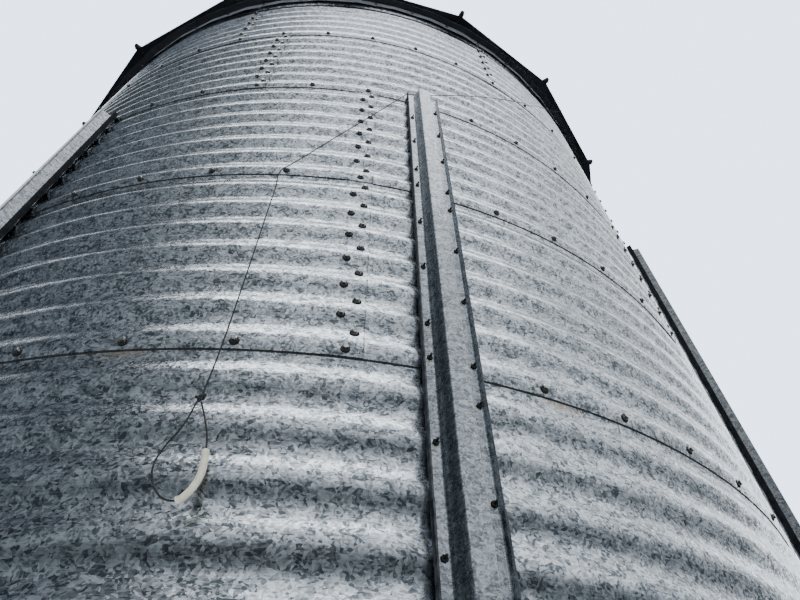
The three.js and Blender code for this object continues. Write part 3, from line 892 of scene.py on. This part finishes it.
# Foot: the rolled angle that the lowest ring is bolted to, and the flat steel bottom inside it. Both are
# galvanised, and both are shown as the CAD has them.


def coat(names, material):
    """Gives its material to each piece that is shown as the CAD has it."""
    for name in names:
        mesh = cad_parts[name].data
        mesh.materials.clear()
        mesh.materials.append(material)


coat(["base_angle", "floor_plate"], galvanised("floor_zinc", (0.30, 0.32, 0.34), (0.62, 0.65, 0.68)))

# Eave: a rolled angle round the top of the wall that carries the roof's edge. Its leg is bare zinc, bolted to
# the wall at every seam bolt's place, and its flange is painted black as the shade under the roof's edge,
# like the underside of the roof.
EAVE_FACE = 1.8655
EAVE_BOLT_HEIGHT = 5.062
# Painted shade: near black for the roof's downward faces and the rib ends under the eave.
BLACK_TONES = [(0.35, (0.006, 0.007, 0.009)), (0.75, (0.022, 0.024, 0.028))]
BLACK_RELIEF = 0.001
BARE_TONES = [(0.35, (0.30, 0.33, 0.38)), (0.7, (0.52, 0.56, 0.62))]
BARE_METALLIC = 0.25
# Painted shade: the flange's colour under the roof's edge.
FLANGE_PAINTED_SHADE = (0.012, 0.013, 0.016, 1.0)
FLANGE_RANGE = (0.4, 0.6)

# The black of painted shade, for the roof's undersides and the rib-end boots.
black = mottled("underside_shade_black", BLACK_TONES, scale=7.0, detail=6.0, roughness=0.5, specular=DULL_SPECULAR,
                rough_range=(0.6, 0.8), relief=BLACK_RELIEF, strength=0.4)

eave_finish, tree, shader = new_material("eave_zinc_and_painted_shade", 1.0, 0.45)
bare = colour_ramp(tree, clouds_over(tree, scale=30.0, detail=5.0), BARE_TONES)
# Painted shade: black on the faces that look up or down, where the roof's edge shades them.
facing = add_node(tree, "ShaderNodeNewGeometry").outputs["Normal"]
upward = add_node(tree, "ShaderNodeSeparateXYZ", {"Vector": facing}).outputs["Z"]
painted_shade_share = mapped(tree, reckon(tree, "ABSOLUTE", upward), *FLANGE_RANGE, 0.0, 1.0)
tree.links.new(mixed(tree, painted_shade_share, bare, FLANGE_PAINTED_SHADE), shader.inputs["Base Color"])
tree.links.new(mapped(tree, painted_shade_share, 0.0, 1.0, BARE_METALLIC, 0.0), shader.inputs["Metallic"])
coat(["eave_angle"], eave_finish)

eave_bolts = bmesh.new()
for step in range(SEAM_BOLTS):
    azimuth = BOLT_AZIMUTH + step * BOLT_STEP
    add_copy(eave_bolts, one_bolt, standing_out(azimuth, EAVE_FACE, EAVE_BOLT_HEIGHT, SEAM_SPIN * step))
finish_piece("eave_bolts", eave_bolts, [bolt_zinc, washer_black])

# Roof sheets: eighteen flat galvanised sectors whose long edges are folded up side by side. Their undersides
# and their folded ends, the faces that look down, are painted black as the shade under the eave.
SECTOR_COUNT = 18
SECTOR_TURN = 360.0 / SECTOR_COUNT
CORNER_AZIMUTH = -4.17
EDGE_RADIUS = 1.951
EDGE_HEIGHT = 5.063
PEAK_RADIUS = 0.286
ROOF_SLOPE = math.radians(30)
ROOF_SHEET = 0.0015
FOLD_HEIGHT = 0.034
FOLD_GAP = 0.0012
FOLD_BEND = 0.004
UNDERSIDE_NORMAL = -0.5


def roof_point(azimuth, radius, above):
    """A point over a rib's foot line, by its height above the sheet measured square to the slope."""
    foot = polar(azimuth, radius, EDGE_HEIGHT + (EDGE_RADIUS - radius) * math.tan(ROOF_SLOPE))
    return foot + polar(azimuth, math.sin(ROOF_SLOPE), math.cos(ROOF_SLOPE)) * above


def roof_sheet_mesh(azimuth):
    """A sector with both long edges folded up, its underside marked for the black of painted shade."""
    bm = bmesh.new()
    half = SECTOR_TURN / 2
    corners = []
    edge, peak = EDGE_RADIUS, PEAK_RADIUS
    for side, radius in ((-half, edge), (half, edge), (half, peak), (-half, peak)):
        inward = Vector((-math.copysign(FOLD_GAP, side), 0.0, 0.0))
        corners.append(bm.verts.new(roof_point(side, radius, ROOF_SHEET) + inward))
    bm.faces.new(corners)
    for side, first, second in ((half, 1, 2), (-half, 3, 0)):
        long_edge = bm.edges.get([corners[first], corners[second]])
        lifted = bmesh.ops.extrude_edge_only(bm, edges=[long_edge])
        up = polar(side, math.sin(ROOF_SLOPE), math.cos(ROOF_SLOPE)) * FOLD_HEIGHT
        bmesh.ops.translate(bm, verts=vertices_of(lifted), vec=up)
    round_off(bm, [edge for edge in bm.edges if len(edge.link_faces) == 2], FOLD_BEND)
    bmesh.ops.recalc_face_normals(bm, faces=bm.faces)
    bm.normal_update()
    flat = max(bm.faces, key=lambda face: face.calc_area())
    if flat.normal.z < 0:
        bmesh.ops.reverse_faces(bm, faces=bm.faces[:])
    bmesh.ops.solidify(bm, geom=bm.faces[:], thickness=ROOF_SHEET)
    bm.normal_update()
    for face in bm.faces:
        face.material_index = 1 if face.normal.z < UNDERSIDE_NORMAL else 0
    turn_about_axis(bm, bm.verts, azimuth)
    return bm


roof_zinc = galvanised("roof_zinc", (0.20, 0.225, 0.25), (0.78, 0.83, 0.88))
for number in range(1, SECTOR_COUNT + 1):
    middle = CORNER_AZIMUTH + (number - 0.5) * SECTOR_TURN
    sheet = roof_sheet_mesh(middle)
    sector = finish_piece(f"roof_sector_{number:02d}", sheet, [roof_zinc, black])
    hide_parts(f"roof_sheet_{number:02d}")

# Rib caps: a pressed galvanised cap pushed over each pair of folds from the peak to the eave, and a moulded
# boot over its lower end that keeps the weather out, black as painted shade like the roof's underside.
CAP_HALF = 0.0105
CAP_FOOT = 0.004
CAP_TOP = 0.040
CAP_BEND = 0.006
CAP_START = PEAK_RADIUS + 0.002
BOOT_WALL = 0.0015
BOOT_BEND = 0.009
BOOT_REACH = 0.010
BOOT_COVER = 0.030


def rib_bars(low_radius, high_radius, half, foot, top, bend):
    """A round-topped bar between two radii along every rib."""
    bm = bmesh.new()
    made = bmesh.ops.create_cube(bm, size=1.0)["verts"]
    for vertex in made:
        radius = low_radius if vertex.co.y < 0 else high_radius
        above = top if vertex.co.z > 0 else foot
        vertex.co = roof_point(0.0, radius, above) + Vector((math.copysign(half, vertex.co.x), 0.0, 0.0))
    round_off(bm, bm.edges[:], bend)
    bmesh.ops.recalc_face_normals(bm, faces=bm.faces)
    first = bm.faces[:]
    for rib in range(1, SECTOR_COUNT):
        turned_copy(bm, first, rib * SECTOR_TURN)
    turn_about_axis(bm, bm.verts, CORNER_AZIMUTH)
    return bm


caps = rib_bars(EDGE_RADIUS, CAP_START, CAP_HALF, CAP_FOOT, CAP_TOP, CAP_BEND)
finish_piece("rib_caps", caps, [roof_zinc])
boots = rib_bars(EDGE_RADIUS + BOOT_REACH, EDGE_RADIUS - BOOT_COVER, CAP_HALF + BOOT_WALL,
                 CAP_FOOT - BOOT_WALL, CAP_TOP + BOOT_WALL, BOOT_BEND)
finish_piece("rib_end_boots", boots, [black])

# Peak: the collar of the filling hole, its lid, and the hinge and lever that the cord pulls. All are
# galvanised, with larger grains than the sheets have, and all are shown as the CAD has them.
fitting_zinc = galvanised("fitting_zinc", (0.32, 0.34, 0.37), (0.70, 0.73, 0.76), grain=0.022)
coat(["peak_collar", "filling_lid", "lid_hinge", "lid_lever"], fitting_zinc)

# Studio: a plain pale floor, a pale background and soft light. The light is strongest from above and from
# behind the silo, and the left is dark, so that the waves and the flakes of the zinc stand out.
FLOOR_RADIUS = 30.0
FLOOR_SIDES = 96
FLOOR_DROP = 0.002
FLOOR_COLOUR = (0.86, 0.87, 0.88, 1.0)
BACKDROP_COLOUR = (0.66, 0.79, 1.0, 1.0)
BACKDROP_STRENGTH = 4.0
LIGHT_STRENGTH = 3.0
BACK_SKY = (2.2, 2.3, 2.4, 1.0)
DARK_AZIMUTH = -105.0
DARK_SIDE = (0.0, 0.016, 0.034, 1.0)

# The light's colour from straight below, at 0, to straight above, at 1.
SKY_TONES = [
    (0.0, (0.03, 0.032, 0.034)),
    (0.45, (0.045, 0.05, 0.054)),
    (0.53, (0.078, 0.087, 0.094)),
    (0.61, (0.145, 0.156, 0.165)),
    (0.70, (0.26, 0.274, 0.286)),
    (0.80, (0.34, 0.355, 0.37)),
    (0.925, (0.36, 0.375, 0.39)),
    (0.95, (0.94, 0.965, 0.99)),
    (1.0, (1.05, 1.075, 1.10)),
]

# How dark the left side is, from straight away from it, at 0, to straight towards it, at 1. It is less dark
# near the ground and ends below the strong light from above, a little higher at its middle.
DARK_SHARES = [(0.44, 0.0), (0.49, 0.16), (0.62, 0.62), (0.75, 0.77), (0.92, 0.90)]
DARK_TOP = (0.90, 0.86)
DARK_TOP_TILT = -0.05
DARK_FOOT = (0.0, 0.40)
DARK_FOOT_SHARE = 0.28

# The sky behind the silo fades in sideways and from the ground up.
BACK_EDGE = (0.12, 0.30)
BACK_FOOT = (0.0, 0.15)

bm = bmesh.new()
bmesh.ops.create_circle(bm, cap_ends=True, segments=FLOOR_SIDES, radius=FLOOR_RADIUS)
bmesh.ops.translate(bm, verts=bm.verts, vec=(0, 0, -FLOOR_DROP))
floor_mesh = as_mesh("studio_floor", bm)
pale, tree, shader = new_material("pale_floor", 0.0, 0.8)
shader.inputs["Base Color"].default_value = FLOOR_COLOUR
floor_mesh.materials.append(pale)
floor = bpy.data.objects.new("studio_floor", floor_mesh)
bpy.context.scene.collection.objects.link(floor)
floor.visible_glossy = False

world = bpy.data.worlds.new("studio")
bpy.context.scene.world = world
world.use_nodes = True
tree = world.node_tree
for node in list(tree.nodes):
    tree.nodes.remove(node)
towards = add_node(tree, "ShaderNodeTexCoord").outputs["Generated"]
split = add_node(tree, "ShaderNodeSeparateXYZ", {"Vector": towards}).outputs
flat = add_node(tree, "ShaderNodeCombineXYZ", {"X": split["X"], "Y": split["Y"]}).outputs["Vector"]
flat = reckon_vector(tree, "NORMALIZE", flat)

sky = colour_ramp(tree, mapped(tree, split["Z"], -1.0, 1.0, 0.0, 1.0), SKY_TONES)
sky = reckon_vector(tree, "SCALE", sky, scale=LIGHT_STRENGTH)

leftward = reckon_vector(tree, "DOT_PRODUCT", flat, polar(DARK_AZIMUTH, 1.0, 0.0))
dark = colour_ramp(tree, mapped(tree, leftward, -1.0, 1.0, 0.0, 1.0),
                   [(position, (share, share, share)) for position, share in DARK_SHARES])
rise = reckon(tree, "MULTIPLY_ADD", leftward, DARK_TOP_TILT, split["Z"])
dark = reckon(tree, "MULTIPLY", dark, mapped(tree, rise, *DARK_TOP, 0.0, 1.0))
dark = reckon(tree, "MULTIPLY", dark, mapped(tree, split["Z"], *DARK_FOOT, DARK_FOOT_SHARE, 1.0))
light = mixed(tree, dark, sky, DARK_SIDE)

backward = add_node(tree, "ShaderNodeSeparateXYZ", {"Vector": flat}).outputs["Y"]
behind = reckon(tree, "MULTIPLY", mapped(tree, backward, *BACK_EDGE, 0.0, 1.0),
                mapped(tree, split["Z"], *BACK_FOOT, 0.0, 1.0))
light = mixed(tree, behind, light, BACK_SKY)

studio = add_node(tree, "ShaderNodeBackground", {"Color": light, "Strength": 1.0})
backdrop = add_node(tree, "ShaderNodeBackground", {"Color": BACKDROP_COLOUR, "Strength": BACKDROP_STRENGTH})
seen = add_node(tree, "ShaderNodeLightPath").outputs["Is Camera Ray"]
both = add_node(tree, "ShaderNodeMixShader", {0: seen, 1: studio.outputs[0], 2: backdrop.outputs[0]})
add_node(tree, "ShaderNodeOutputWorld", {"Surface": both.outputs[0]})
